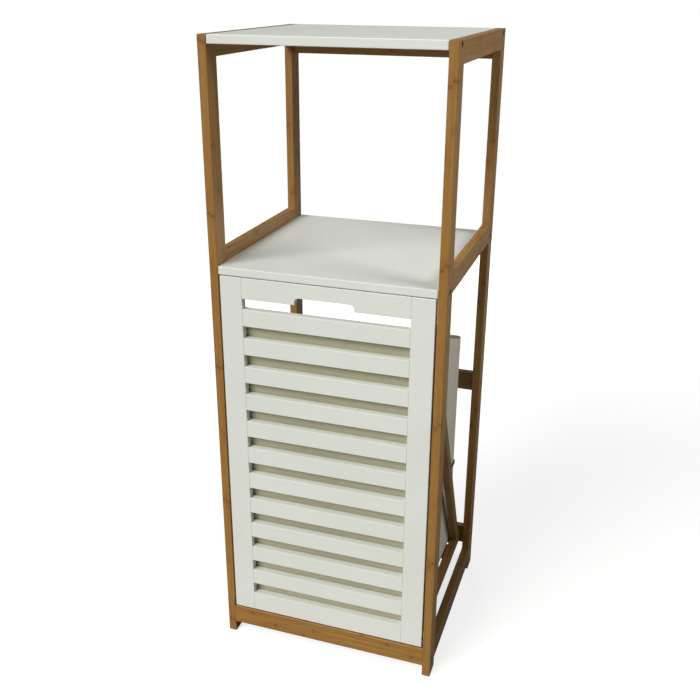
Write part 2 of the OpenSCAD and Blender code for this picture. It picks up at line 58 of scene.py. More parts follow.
bag_low, bag_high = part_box("laundry_bag")

UP = Vector((0, 0, 1))
SHARP = math.radians(30)


# ---- Camera, floor and light ------------------------------------------------------------

def place_camera():
    """A standing person's view of the stand, a little from the right and from above."""
    azimuth, elevation, roll = 0.325403, 0.382701, 0.0045437
    back = Vector((
        math.sin(azimuth) * math.cos(elevation),
        -math.cos(azimuth) * math.cos(elevation),
        math.sin(elevation),
    ))
    level_right = (-back).cross(UP).normalized()
    level_up = back.cross(level_right)
    right = math.cos(roll) * level_right + math.sin(roll) * level_up
    up = math.cos(roll) * level_up - math.sin(roll) * level_right
    lens = bpy.data.cameras.new("camera")
    lens.lens = 45.72
    lens.sensor_width = 36
    lens.shift_x, lens.shift_y = 0.0021, -0.0147
    lens.clip_end = 200
    camera = bpy.data.objects.new("camera", lens)
    bpy.context.scene.collection.objects.link(camera)
    eye = Matrix.Translation((0.41006, -1.2704, 1.0343))
    camera.matrix_world = eye @ Matrix((right, up, back)).transposed().to_4x4()
    bpy.context.scene.camera = camera


def aim(lamp, at):
    """Points a lamp at a place."""
    lamp.rotation_euler = (Vector(at) - lamp.location).to_track_quat("-Z", "Y").to_euler()


def add_lamp(name, kind, place, at, strength, **settings):
    light = bpy.data.lights.new(name, kind)
    light.energy = strength
    for key, value in settings.items():
        setattr(light, key, value)
    lamp = bpy.data.objects.new(name, light)
    bpy.context.scene.collection.objects.link(lamp)
    lamp.location = place
    aim(lamp, at)


def light_the_room():
    bpy.context.scene.view_settings.view_transform = "Standard"
    middle = (cad_low + cad_high) / 2
    window = middle + Vector((-1.05, -1.9, 1.5))
    add_lamp("window", "SUN", window, middle, 2.9, angle=math.radians(38), color=(1, 0.985, 0.95))
    add_lamp(
        "wall_bounce", "AREA", (1.55, -0.35, 2.0), middle + Vector((0.15, 0, 0.42)), 2.8,
        size=0.9, spread=math.radians(60), color=(1, 0.98, 0.96),
    )
    add_lamp("far_wall", "AREA", (-0.6, 2.4, 0.28), middle, 16, size=0.7, color=(1, 0.97, 0.94))
    room = bpy.data.worlds.new("room")
    bpy.context.scene.world = room
    room.use_nodes = True
    tree = room.node_tree
    seen, path = tree.nodes["Background"], tree.nodes.new("ShaderNodeLightPath")
    soft = tree.nodes.new("ShaderNodeBackground")
    choose = tree.nodes.new("ShaderNodeMixShader")
    soft.inputs[0].default_value = (0.93, 0.96, 1, 1)
    soft.inputs[1].default_value = 0.17
    seen.inputs[0].default_value = (1, 1, 1, 1)
    seen.inputs[1].default_value = 1.0
    tree.links.new(path.outputs["Is Camera Ray"], choose.inputs[0])
    tree.links.new(soft.outputs[0], choose.inputs[1])
    tree.links.new(seen.outputs[0], choose.inputs[2])
    tree.links.new(choose.outputs[0], tree.nodes["World Output"].inputs[0])


def lay_floor():
    bm = bmesh.new()
    bmesh.ops.create_grid(bm, x_segments=1, y_segments=1, size=30)
    mesh = bpy.data.meshes.new("floor")
    bm.to_mesh(mesh)
    bm.free()
    floor = bpy.data.objects.new("floor", mesh)
    bpy.context.scene.collection.objects.link(floor)
    paper = Finish("pale_floor")
    mottle = paper.noise(paper.place(), 1.5, detail=2)
    looked_at = paper.add("LightPath", {}, "Is Camera Ray")
    pale = paper.blend(mottle, (0.40, 0.40, 0.40), (0.42, 0.42, 0.42))
    paper.set("Base Color", paper.blend(looked_at, (0.3, 0.28, 0.26), pale))
    paper.set("Emission Color", (1, 1, 1))
    paper.set("Emission Strength", paper.math("MULTIPLY", looked_at, 0.74))
    paper.set("Roughness", 0.85)
    paper.set("Specular IOR Level", 0.1)
    mesh.materials.append(paper.material)


# ---- Finishes ---------------------------------------------------------------------------

class Finish:
    """A material as it is mixed: its nodes end in one shader."""

    def __init__(self, name):
        self.material = bpy.data.materials.new(name)
        self.material.use_nodes = True
        self.tree = self.material.node_tree
        self.shader = self.tree.nodes["Principled BSDF"]

    def feed(self, socket, value):
        if isinstance(value, bpy.types.NodeSocket):
            self.tree.links.new(value, socket)
        elif isinstance(value, tuple) and len(value) == 3 and socket.type == "RGBA":
            socket.default_value = (*value, 1)
        else:
            socket.default_value = value

    def add(self, kind, inputs, output=0, **settings):
        node = self.tree.nodes.new("ShaderNode" + kind)
        for key, value in settings.items():
            setattr(node, key, value)
        for key, value in inputs.items():
            self.feed(node.inputs[key], value)
        return node.outputs[output]

    def set(self, socket, value):
        self.feed(self.shader.inputs[socket], value)

    def place(self, turn=(0, 0, 0), scale=(1, 1, 1)):
        """Object coordinates, turned and stretched."""
        here = self.add("TexCoord", {}, "Object")
        turned = self.add("Mapping", {"Vector": here, "Rotation": turn})
        return self.add("Mapping", {"Vector": turned, "Scale": scale})

    def math(self, operation, *values, clamp=False):
        return self.add("Math", dict(enumerate(values)), operation=operation, use_clamp=clamp)

    def parts(self, vector):
        node = self.tree.nodes.new("ShaderNodeSeparateXYZ")
        self.feed(node.inputs[0], vector)
        return node.outputs[0], node.outputs[1], node.outputs[2]

    def joined(self, x, y, z):
        return self.add("CombineXYZ", {0: x, 1: y, 2: z})

    def noise(self, vector, scale, detail=3, roughness=0.55):
        inputs = {"Vector": vector, "Scale": scale, "Detail": detail, "Roughness": roughness}
        return self.add("TexNoise", inputs)

    def chance(self, vector):
        """One number for each whole place, the same every time."""
        return self.add("TexWhiteNoise", {"Vector": vector}, "Value", noise_dimensions="3D")

    def ease(self, value, low, high, to_low=0.0, to_high=1.0):
        """Runs smoothly from to_low to to_high while value runs from low to high."""
        inputs = {"Value": value, "From Min": low, "From Max": high, "To Min": to_low, "To Max": to_high}
        return self.add("MapRange", inputs, interpolation_type="SMOOTHSTEP")

    def blend(self, share, first, second, how="MIX"):
        """Colour first where share is 0, second where it is 1."""
        return self.add("Mix", {0: share, 6: first, 7: second}, 2, data_type="RGBA", blend_type=how)

    def bump(self, height, distance, strength=1.0, under=None):
        inputs = {"Height": height, "Distance": distance, "Strength": strength}
        if under is not None:
            inputs["Normal"] = under
        return self.add("Bump", inputs)

    def attribute(self, name):
        return self.add("Attribute", {}, "Fac", attribute_name=name)


STRIP_WIDE, STRIP_THICK = 0.0102, 0.0068  # bamboo strips glued side by side and in layers
KNUCKLE_PITCH = 0.235


def bamboo(name, turn, painted_shade_factor=1.0):
    """Laminated bamboo under satin lacquer. After the turn, its strips run along Z. Painted shade: the last
    argument, below 1, darkens every colour, for copies on parts that stand in shade.
    """
    wood = Finish(name)
    across, deep, along = wood.parts(wood.place(turn))
    strip = wood.joined(
        wood.math("FLOOR", wood.math("DIVIDE", across, STRIP_THICK)),
        wood.math("FLOOR", wood.math("DIVIDE", deep, STRIP_WIDE)),
        3.0,
    )
    luck = wood.chance(strip)
    other_luck = wood.chance(wood.add("VectorMath", {0: strip, 1: (17, 5, 9)}, operation="ADD"))
    fibre = wood.noise(wood.place(turn, (620, 620, 9)), 1, detail=5, roughness=0.62)
    bundles = wood.noise(wood.place(turn, (1500, 1500, 42)), 1, detail=2)
    clouds = wood.noise(wood.place(turn, (34, 34, 7)), 1, detail=3)
    stains = wood.noise(wood.place(turn, (75, 75, 26)), 1, detail=4, roughness=0.6)

    # A knuckle crosses each strip at its own height.
    ripple = wood.noise(wood.place(turn, (190, 190, 60)), 1)
    wobble = wood.math("MULTIPLY", wood.math("SUBTRACT", ripple, 0.5), 0.007)
    start = wood.math("MULTIPLY", other_luck, KNUCKLE_PITCH)
    height = wood.math("ADD", wood.math("ADD", along, wobble), start)
    step = wood.math("FRACT", wood.math("DIVIDE", height, KNUCKLE_PITCH))
    away = wood.math("MULTIPLY", wood.math("ABSOLUTE", wood.math("SUBTRACT", step, 0.5)), KNUCKLE_PITCH)
    knuckle = wood.ease(away, 0.0007, 0.0040, 1.0, 0.0)
    flush = wood.ease(away, 0.002, 0.026, 1.0, 0.0)

    # Painted shade: every colour below is scaled by the darkening factor, for parts that stand in shade.
    def shade(red, green, blue):
        return (red * painted_shade_factor, green * painted_shade_factor, blue * painted_shade_factor)

    colour = wood.blend(wood.ease(fibre, 0.3, 0.72), shade(0.27, 0.128, 0.024), shade(0.43, 0.245, 0.053))
    colour = wood.blend(wood.ease(luck, 0, 1, 0, 0.5), colour, shade(0.30, 0.148, 0.032))
    colour = wood.blend(wood.ease(clouds, 0.45, 0.75, 0, 0.5), colour, shade(0.33, 0.138, 0.032))
    colour = wood.blend(wood.ease(stains, 0.56, 0.74, 0, 0.45), colour, shade(0.20, 0.080, 0.018))
    colour = wood.blend(wood.math("MULTIPLY", flush, 0.36), colour, shade(0.27, 0.100, 0.024))
    colour = wood.blend(wood.ease(bundles, 0.57, 0.7, 0, 0.42), colour, shade(0.17, 0.075, 0.016))
    colour = wood.blend(wood.math("MULTIPLY", knuckle, 0.5), colour, shade(0.13, 0.050, 0.013))
    wood.set("Base Color", colour)
    wood.set("Roughness", wood.ease(fibre, 0.2, 0.8, 0.46, 0.34))
    wood.set("Coat Weight", 0.18)
    wood.set("Coat Roughness", 0.22)
    grain = wood.bump(fibre, 0.00012, 0.5)
    wood.set("Normal", wood.bump(knuckle, 0.0003, 0.5, grain))
    return wood.material


def white_paint():
    """Satin white over fibreboard, sprayed, a trace thinner along the edges."""
    paint = Finish("white_satin_paint")
    here = paint.place()
    cloud = paint.noise(here, 7, detail=3)
    peel = paint.noise(here, 900, detail=2)
    haze = paint.noise(here, 60, detail=4)
    colour = paint.blend(paint.ease(cloud, 0.3, 0.7), (0.745, 0.775, 0.725), (0.775, 0.80, 0.755))
    colour = paint.blend(paint.ease(haze, 0.62, 0.8, 0, 0.25), colour, (0.70, 0.69, 0.61))
    worn = paint.math("MULTIPLY", paint.attribute("worn_edge"), 0.16)
    colour = paint.blend(worn, colour, (0.55, 0.47, 0.34))
    paint.set("Base Color", colour)
    paint.set("Roughness", paint.ease(haze, 0.3, 0.7, 0.36, 0.44))
    paint.set("Specular IOR Level", 0.45)
    paint.set("Normal", paint.bump(peel, 0.00006, 0.35))
    return paint.material


THREAD = 0.0011  # width of one thread of the bag's plain weave


def woven(cloth, u, v, pitch):
    """Height of a plain weave: each thread runs over one and under the next."""
    column = cloth.math("FLOOR", cloth.math("DIVIDE", u, pitch))
    line = cloth.math("FLOOR", cloth.math("DIVIDE", v, pitch))
    over = cloth.math("PINGPONG", cloth.math("ADD", column, line), 1.0)
    warp = cloth.math("ABSOLUTE", cloth.math("SINE", cloth.math("MULTIPLY", u, math.pi / pitch)))
    weft = cloth.math("ABSOLUTE", cloth.math("SINE", cloth.math("MULTIPLY", v, math.pi / pitch)))
    under = cloth.math("SUBTRACT", 1.0, over)
    return cloth.math("ADD", cloth.math("MULTIPLY", over, warp), cloth.math("MULTIPLY", under, weft))


def bag_cloth():
    cloth = Finish("beige_bag_cloth")
    u, v, _ = cloth.parts(cloth.add("UVMap", {}, uv_map="panels"))
    weave = woven(cloth, u, v, THREAD)
    here = cloth.place()
    long_u, fine_u = cloth.math("MULTIPLY", u, 60), cloth.math("MULTIPLY", u, 900)
    long_v, fine_v = cloth.math("MULTIPLY", v, 60), cloth.math("MULTIPLY", v, 900)
    slub = cloth.noise(cloth.joined(long_u, fine_v, 1.0), 1, detail=3)
    cross_slub = cloth.noise(cloth.joined(fine_u, long_v, 7.0), 1, detail=3)
    soil = cloth.noise(here, 9, detail=4)
    colour = cloth.blend(cloth.ease(weave, 0, 1), (0.54, 0.51, 0.41), (0.77, 0.735, 0.61))
    colour = cloth.blend(cloth.ease(slub, 0.55, 0.75, 0, 0.4), colour, (0.55, 0.51, 0.40))
    colour = cloth.blend(cloth.ease(cross_slub, 0.55, 0.75, 0, 0.4), colour, (0.80, 0.77, 0.66))
    colour = cloth.blend(cloth.ease(soil, 0.35, 0.75, 0, 0.3), colour, (0.61, 0.59, 0.49))
    # Painted shade: the front panel, close behind the door's slats, is darkened and turned more olive, for
    # the slats' shade on it.
    _, from_front, _ = cloth.parts(here)
    front_panel_painted_shade = cloth.ease(from_front, bag_low.y + 0.0025, bag_low.y + 0.005, 0.85, 0)
    colour = cloth.blend(front_panel_painted_shade, colour, (0.58, 0.575, 0.45), "MULTIPLY")
    binding = cloth.math("MULTIPLY", cloth.attribute("bound_rim"), 0.75)
    colour = cloth.blend(binding, colour, (0.13, 0.105, 0.07))
    cloth.set("Base Color", colour)
    cloth.set("Roughness", cloth.ease(weave, 0, 1, 0.95, 0.8))
    cloth.set("Specular IOR Level", 0.2)
    cloth.set("Sheen Weight", 0.12)
    cloth.set("Sheen Roughness", 0.5)
    rumple = cloth.bump(cloth.noise(here, 55, detail=3), 0.0012, 0.35)
    cloth.set("Normal", cloth.bump(weave, 0.0002, 0.6, rumple))
    return cloth.material


RIB = 0.0014  # pitch of the ribs in the webbing


def webbing():
    band = Finish("brown_webbing")
    u, v, _ = band.parts(band.add("UVMap", {}, uv_map="panels"))
    slant = band.math("ADD", u, band.math("MULTIPLY", v, 0.5))
    rib = band.math("ABSOLUTE", band.math("SINE", band.math("MULTIPLY", slant, math.pi / RIB)))
    fuzz = band.noise(band.place(), 1200, detail=2)
    colour = band.blend(rib, (0.035, 0.022, 0.014), (0.085, 0.057, 0.038))
    band.set("Base Color", band.blend(band.ease(fuzz, 0.5, 0.8, 0, 0.4), colour, (0.13, 0.09, 0.06)))
    band.set("Roughness", band.ease(fuzz, 0, 1, 0.9, 0.7))
    band.set("Sheen Weight", 0.2)
    band.set("Normal", band.bump(rib, 0.0002, 0.7))
    return band.material


def loop_tape():
    tape = Finish("dark_loop_tape")
    here = tape.place()
    fuzz = tape.noise(here, 1600, detail=4, roughness=0.7)
    loops = tape.add("TexVoronoi", {"Vector": here, "Scale": 1100})
    pile = tape.ease(fuzz, 0.3, 0.75)
    tape.set("Base Color", tape.blend(pile, (0.022, 0.02, 0.017), (0.075, 0.068, 0.058)))
    tape.set("Roughness", tape.ease(fuzz, 0, 1, 0.95, 0.8))
    tape.set("Sheen Weight", 0.35)
    tape.set("Normal", tape.bump(loops, 0.0004, 0.8))
    return tape.material


def thread():
    spun = Finish("sewing_thread")
    twist = spun.noise(spun.place(), 2400, detail=1)
    spun.set("Base Color", spun.blend(spun.ease(twist, 0.3, 0.7), (0.42, 0.39, 0.28), (0.62, 0.59, 0.45)))
    spun.set("Roughness", spun.ease(twist, 0, 1, 0.75, 0.6))
    return spun.material


def beech():
    wood = Finish("turned_beech")
    fleck = wood.noise(wood.place((0, 0, 0), (60, 900, 900)), 1, detail=4)
    pore = wood.noise(wood.place((0, 0, 0), (220, 2600, 2600)), 1, detail=1)
    colour = wood.blend(wood.ease(fleck, 0.3, 0.7), (0.45, 0.28, 0.15), (0.60, 0.41, 0.24))
    wood.set("Base Color", wood.blend(wood.ease(pore, 0.6, 0.75, 0, 0.5), colour, (0.3, 0.16, 0.08)))
    wood.set("Roughness", wood.ease(fleck, 0, 1, 0.62, 0.5))
    wood.set("Normal", wood.bump(fleck, 0.0001, 0.4))
    return wood.material


def metal(name, light, dark, smooth, rough):
    """Plated steel, with fine tumbling scratches and duller patches."""
    steel = Finish(name)
    here = steel.place()
    scratch = steel.noise(steel.place((0.6, 0.3, 0.2), (300, 4200, 900)), 1, detail=2)
    patch = steel.noise(here, 240, detail=3)
    steel.set("Base Color", steel.blend(steel.ease(patch, 0.3, 0.7), dark, light))
    steel.set("Metallic", 1.0)
    steel.set("Roughness", steel.ease(patch, 0.3, 0.75, smooth, rough))
    steel.set("Normal", steel.bump(scratch, 0.00003, 0.4))
    return steel.material


def nylon():
    plastic = Finish("moulded_nylon")
    here = plastic.place()
    grain = plastic.noise(here, 2600, detail=2)
    flow = plastic.noise(plastic.place((0, 0, 0), (90, 30, 220)), 1, detail=3)
    streak = plastic.ease(flow, 0.3, 0.7)
    plastic.set("Base Color", plastic.blend(streak, (0.055, 0.033, 0.02), (0.085, 0.053, 0.034)))
    plastic.set("Roughness", plastic.ease(grain, 0.3, 0.7, 0.42, 0.55))
    plastic.set("Normal", plastic.bump(grain, 0.00005, 0.4))
    return plastic.material


def magnet_and_poles():
    """Dark ferrite between two steel plates, told apart by their height."""
    low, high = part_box("catch_magnet")
    middle, reach = (low.z + high.z) / 2, (high.z - low.z) / 2
    stack = Finish("ferrite_and_pole_plates")
    here = stack.place()
    _, _, z = stack.parts(here)
    off_middle = stack.math("ABSOLUTE", stack.math("SUBTRACT", z, middle))
    plate = stack.ease(off_middle, reach - 0.0017, reach - 0.0013)
    speck = stack.noise(here, 1500, detail=3)
    ferrite = stack.blend(stack.ease(speck, 0.4, 0.7), (0.03, 0.03, 0.034), (0.075, 0.075, 0.08))
    steel = stack.blend(stack.ease(speck, 0.3, 0.7), (0.42, 0.42, 0.43), (0.58, 0.58, 0.59))
    stack.set("Base Color", stack.blend(plate, ferrite, steel))
    stack.set("Metallic", plate)
    stack.set("Roughness", stack.ease(speck, 0.2, 0.8, 0.62, 0.38))
    stack.set("Normal", stack.bump(speck, 0.00005, 0.4))
    return stack.material


# ---- Making pieces ----------------------------------------------------------------------

def finished(bm, name, body, material, replaced):
    """Makes the modelled piece an object that rides on its body and stands for its CAD nodes."""
    mesh = bpy.data.meshes.new(name)
    bm.to_mesh(mesh)
    bm.free()
    if "custom_normal" in mesh.attributes:
        mesh.attributes.remove(mesh.attributes["custom_normal"])
    mesh.materials.clear()
    mesh.materials.append(material)
    piece = bpy.data.objects.new(name, mesh)
    bpy.context.scene.collection.objects.link(piece)
    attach(piece, body)
    if replaced:
        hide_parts(*replaced)
    return piece


def outline_edges(bm, smallest=0.02):
    """The sharp edges round the outside of a board, but not the rims of its holes."""
    sharp = {e for e in bm.edges if len(e.link_faces) == 2 and e.calc_face_angle() > SHARP}
    found = []
    for start in bm.edges:
        if start not in sharp:
            continue
        sharp.remove(start)
        group = [start]
        for edge in group:  # grows while it is read
            for vert in edge.verts:
                for near in vert.link_edges:
                    if near in sharp:
                        sharp.remove(near)
                        group.append(near)
        spots = [v.co for e in group for v in e.verts]
        spread = max(max(p[i] for p in spots) - min(p[i] for p in spots) for i in range(3))
        if spread > smallest:
            found += group
    return found


def rounded_off(bm, edges, radius, segments):
    return bmesh.ops.bevel(
        bm, geom=edges, offset=radius, offset_type="OFFSET", affect="EDGES",
        segments=segments, profile=0.5, material=-1, clamp_overlap=False,
    )


def merged_copy(node):
    bm = bmesh.new()
    bm.from_mesh(nodes[node].data)
    bmesh.ops.remove_doubles(bm, verts=bm.verts, dist=0.00001)
    bmesh.ops.dissolve_limit(bm, angle_limit=0.005, verts=bm.verts, edges=bm.edges)
    return bm


def eased(node, name, body, material, radius):
    """A board with its edges sanded round."""
    bm = merged_copy(node)
    worn = bm.faces.layers.float.new("worn_edge")
    for face in bm.faces:
        face.smooth = False
    for face in rounded_off(bm, outline_edges(bm), radius, 2)["faces"]:
        face[worn] = 1.0
    return finished(bm, name, body, material, [node])


def sew_panels(bm):
    """Lays the cloth's threads along each flat side, as if each were its own cut panel."""
    layer = bm.loops.layers.uv.new("panels")
    bm.normal_update()
    for face in bm.faces:
        n = [abs(c) for c in face.normal]
        for loop in face.loops:
            x, y, z = loop.vert.co
            if n[0] >= n[1] and n[0] >= n[2]:
                loop[layer].uv = (y, z)
            elif n[1] >= n[2]:
                loop[layer].uv = (x, z)
            else:
                loop[layer].uv = (x, y)


# ---- Bag --------------------------------------------------------------------------------

wire_low, wire_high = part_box("rim_wire")
CORNER = 0.005  # radius of the bag's upright corners
CLOTH = 0.0012
HEM = 0.024  # depth of the turned-over hem
WIRE = 0.002  # radius of the rim's wire
FOOT = 0.0022  # radius of the fold round the bag's base
SEAM_PROUD = 0.0009  # how far a corner seam stands out
WALL_ROWS = 34  # rows of cloth faces between the base and the hem
STITCH_PITCH = 0.0042
STITCH = (0.0027, 0.0006, 0.0005)  # length, width and height of one stitch
STRAP_OFF = 0.0011  # the strap's inner face off the cloth


def bag_outline():
    """Points round the bag, seen from above: (x, y, outward x, outward y, seam?), front left first."""
    low, high = bag_low, bag_high
    points = []
    sides = [
        ((low.x + CORNER, low.y + CORNER), (0, -1), (1, 0), high.x - low.x - 2 * CORNER),
        ((high.x - CORNER, low.y + CORNER), (1, 0), (0, 1), high.y - low.y - 2 * CORNER),
        ((high.x - CORNER, high.y - CORNER), (0, 1), (-1, 0), high.x - low.x - 2 * CORNER),
        ((low.x + CORNER, high.y - CORNER), (-1, 0), (0, -1), high.y - low.y - 2 * CORNER),
    ]
    for (cx, cy), (nx, ny), (tx, ty), length in sides:
        steps, turns = 26, 8
        for i in range(steps):
            s = i / steps * length
            points.append((cx + nx * CORNER + tx * s, cy + ny * CORNER + ty * s, nx, ny, False))
        end_x, end_y = cx + tx * length, cy + ty * length
        for i in range(turns):
            a = i / turns * math.pi / 2
            out_x, out_y = nx * math.cos(a) + tx * math.sin(a), ny * math.cos(a) + ty * math.sin(a)
            points.append((end_x + out_x * CORNER, end_y + out_y * CORNER, out_x, out_y, i == turns // 2))
    return points


def bag_spot(point, f, inset=0.0):
    """Where the bag's outer face is, at f of the height from the fold round its base to the hem."""
    x, y, out_x, out_y, seam = point
    base = bag_low.z + FOOT
    inset += slack(x, y, out_x, out_y, f) - (SEAM_PROUD if seam else 0)
    return Vector((x - out_x * inset, y - out_y * inset, base + f * (rim_height(y) - HEM - base)))


def rim_height(y):
    """Height of the bag's rim, which falls in a straight line from the front to the back."""
    fall = (wire_high.z - wire_low.z - 2 * WIRE) / (wire_high.y - wire_low.y - 2 * WIRE)
    return bag_high.z - (y - bag_low.y) * fall


def slack(x, y, out_x, out_y, f):
    """How far the cloth hangs in from its full shape, at f of the height from the base to the hem."""
    low, high = bag_low, bag_high
    if abs(out_x) > abs(out_y):
        s, depth, seed = (y - low.y) / (high.y - low.y), 0.0052, 3.0 + out_x
    elif out_y > 0:
        s, depth, seed = (x - low.x) / (high.x - low.x), 0.0085, 9.0
    else:
        s, depth, seed = (x - low.x) / (high.x - low.x), 0.002, 14.0
    middle = max(0.0, math.sin(math.pi * s)) ** 0.7
    belly = math.sin(math.pi * f ** 0.8) ** 0.7 if 0 < f < 1 else 0.0
    folds = noise.noise(Vector((s * 2.6 + f * 1.1, f * 1.9, seed)))
    crease = 1 - abs(noise.noise(Vector((s * 4.4 - f * 2.2, f * 2.6 + s * 1.3, seed + 4))))
    return max(0.0, middle * belly * depth * (1 + 0.8 * folds + 0.45 * crease ** 6))


def make_bag(cloth):
    outline = bag_outline()
    low = bag_low

    # Cross-section from the base up, over the rim wire and down inside: (part, how far in, how high)
    profile = [("foot", FOOT * (1 - math.sin(a)), FOOT * (1 - math.cos(a))) for a in (0.0, 0.5, 1.05)]
    profile += [("wall", i / WALL_ROWS, 0) for i in range(WALL_ROWS + 1)]
    profile += [
        ("rim", inset * 0.001, rise * 0.001) for inset, rise in (
            (-0.5, -23.4), (-0.4, -21), (-0.3, -16), (-0.2, -10), (0, -5), (0.1, -2.8), (0.9, -0.9),
            (2.6, 0.0), (4.8, 0.1), (6.8, -1.0), (7.9, -3.2), (8.1, -5.6), (7.3, -8.0),
            (5.6, -9.8), (3.9, -11.4), (2.9, -13.5), (2.6, -17), (2.6, -21.5),
        )
    ]
    bm = bmesh.new()
    station = bm.verts.layers.int.new("station")
    ring = bmesh.ops.create_circle(bm, segments=len(outline), radius=1)["verts"]
    for i, vert in enumerate(ring):
        vert[station] = i

    def put(verts, kind, first, second):
        for vert in verts:
            x, y, out_x, out_y, _ = outline[vert[station]]
            spot = Vector((x - out_x * first, y - out_y * first, low.z + second))
            if kind == "wall":
                spot = bag_spot(outline[vert[station]], first)
            elif kind == "rim":
                spot.z = rim_height(spot.y) + second
            vert.co = spot

    put(ring, *profile[0])
    base_edges = list(bm.edges)
    edges = base_edges
    bound = bm.faces.layers.float.new("bound_rim")
    for kind, first, second in profile[1:]:
        made = bmesh.ops.extrude_edge_only(bm, edges=edges)["geom"]
        put([g for g in made if isinstance(g, bmesh.types.BMVert)], kind, first, second)
        edges = [g for g in made if isinstance(g, bmesh.types.BMEdge) and g.is_boundary]
        if kind == "rim" and second > -0.0034:
            for face in (g for g in made if isinstance(g, bmesh.types.BMFace)):
                face[bound] = 1.0

    # The base closes in rings to its middle.
    centre = Vector((0, (low.y + bag_high.y) / 2, low.z))
    edges = base_edges
    for share in (0.93, 0.8, 0.62, 0.42, 0.2):
        made = bmesh.ops.extrude_edge_only(bm, edges=edges)["geom"]
        for vert in (g for g in made if isinstance(g, bmesh.types.BMVert)):
            x, y, out_x, out_y, _ = outline[vert[station]]
            rest = Vector((x - out_x * FOOT, y - out_y * FOOT, low.z))
            vert.co = centre + (rest - centre) * share
        edges = [g for g in made if isinstance(g, bmesh.types.BMEdge) and g.is_boundary]
    bmesh.ops.holes_fill(bm, edges=edges, sides=0)
    cap = [f for f in bm.faces if len(f.verts) > 4]
    bmesh.ops.poke(bm, faces=cap)
    bmesh.ops.recalc_face_normals(bm, faces=bm.faces)
    sew_panels(bm)
    for face in bm.faces:
        face.smooth = True
    bm.verts.layers.int.remove(station)
    bag = finished(bm, "sewn_laundry_bag", "hamper", cloth, ["laundry_bag", "rim_wire"])
    wall = bag.modifiers.new("cloth_thickness", "SOLIDIFY")
    wall.thickness = CLOTH
    wall.offset = -1
    smooth = bag.modifiers.new("soft_cloth", "SUBSURF")
    smooth.levels = smooth.render_levels = 1
    return bag


def along(path, pitch):
    """Places at an even pitch along a path, each with the path's direction there."""
    left = pitch / 2
    for start, end in zip(path, path[1:]):
        run = end - start
        while left <= run.length:
            yield start + run * (left / run.length), run.normalized()
            left += pitch
        left -= run.length


def make_stitching(finish):
    """Thread: one row round the hem, and one beside each corner seam."""
    outline = bag_outline()
    hem_row = [Vector((p[0] + p[2] * 0.0004, p[1] + p[3] * 0.0004, rim_height(p[1]) - 0.02)) for p in outline]
    rows = [(hem_row + hem_row[:1], [Vector(p[2:4]).to_3d() for p in outline] * 2)]
    for point, beside in zip(outline, outline[1:]):
        if point[4]:
            row = [bag_spot(beside, i / WALL_ROWS, -0.0002) for i in range(1, WALL_ROWS)]
            rows.append((row, [Vector(beside[2:4]).to_3d()] * WALL_ROWS))
    bm = bmesh.new()
    bmesh.ops.create_cube(bm, size=1)
    bmesh.ops.scale(bm, vec=STITCH, verts=bm.verts)
    bmesh.ops.bevel(
        bm, geom=list(bm.edges), offset=0.00022, offset_type="OFFSET", affect="EDGES",
        segments=1, profile=0.5, material=-1,
    )
    pattern = list(bm.verts) + list(bm.edges) + list(bm.faces)
    for path, outs in rows:
        for spot, ahead in along(path, STITCH_PITCH):
            near = min(range(len(path) - 1), key=lambda k: (path[k] - spot).length_squared)
            out = outs[near]
            side = out.cross(ahead).normalized()
            turn = Matrix((ahead, side, ahead.cross(side))).transposed().to_4x4()
            made = bmesh.ops.duplicate(bm, geom=pattern)["geom"]
            verts = [g for g in made if isinstance(g, bmesh.types.BMVert)]
            bmesh.ops.transform(bm, matrix=Matrix.Translation(spot) @ turn, verts=verts)
    bmesh.ops.delete(bm, geom=[g for g in pattern if isinstance(g, bmesh.types.BMVert)], context="VERTS")
    for face in bm.faces:
        face.smooth = True
    finished(bm, "bag_stitching", "hamper", finish, [])


# ---- Strap and tape ---------------------------------------------------------------------

def make_strap(finish):
    """Webbing from one brace, round the back of the bag and to the other brace, drawn close to the cloth."""
    low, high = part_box("bag_strap")
    width, thick = high.z - low.z, 0.0011
    middle = (low.z + high.z) / 2
    base = bag_low.z + FOOT
    face = high.x - thick / 2  # beside the brace

    def strap_spot(stop, z):
        """A stop is a bare place beside the brace, or a point of the bag's outline."""
        if len(stop) == 2:
            return Vector((*stop, z))
        spot = bag_spot(stop, (z - base) / (rim_height(stop[1]) - HEM - base), -STRAP_OFF - thick / 2)
        return Vector((spot.x, spot.y, z))

    start = [(face, low.y + s) for s in (0.001, 0.008, 0.016, 0.024)] + [(face - 0.0006, low.y + 0.034)]
    path = start + [p for p in bag_outline() if p[1] > low.y + 0.05]
    path += [(-x, y) for x, y in reversed(start)]
    bm = bmesh.new()
    row = bm.verts.layers.int.new("row")
    column = [bm.verts.new((0, 0, 0)) for _ in range(5)]
    for i, vert in enumerate(column):
        vert[row] = i
    edges = [bm.edges.new(pair) for pair in zip(column, column[1:])]
    for i, stop in enumerate(path):
        before, after = path[max(0, i - 1)], path[min(len(path) - 1, i + 1)]
        out = (strap_spot(after, middle) - strap_spot(before, middle)).cross(UP).normalized()
        if i:
            made = bmesh.ops.extrude_edge_only(bm, edges=edges)["geom"]
            column = [g for g in made if isinstance(g, bmesh.types.BMVert)]
            edges = [
                g for g in made if isinstance(g, bmesh.types.BMEdge)
                and all(v in column for v in g.verts)
            ]
        for vert in column:
            across = vert[row] / 4 - 0.5
            vert.co = strap_spot(stop, middle + across * width) - out * (0.0008 * across * across)
    bm.verts.layers.int.remove(row)
    bmesh.ops.recalc_face_normals(bm, faces=bm.faces)
    sew_panels(bm)
    for made_face in bm.faces:
        made_face.smooth = True
    strap = finished(bm, "webbing_strap", "hamper", finish, ["bag_strap"])
    body = strap.modifiers.new("webbing_thickness", "SOLIDIFY")
    body.thickness = thick
    body.offset = 0
    soft = strap.modifiers.new("soft_edge", "SUBSURF")
    soft.levels = soft.render_levels = 1


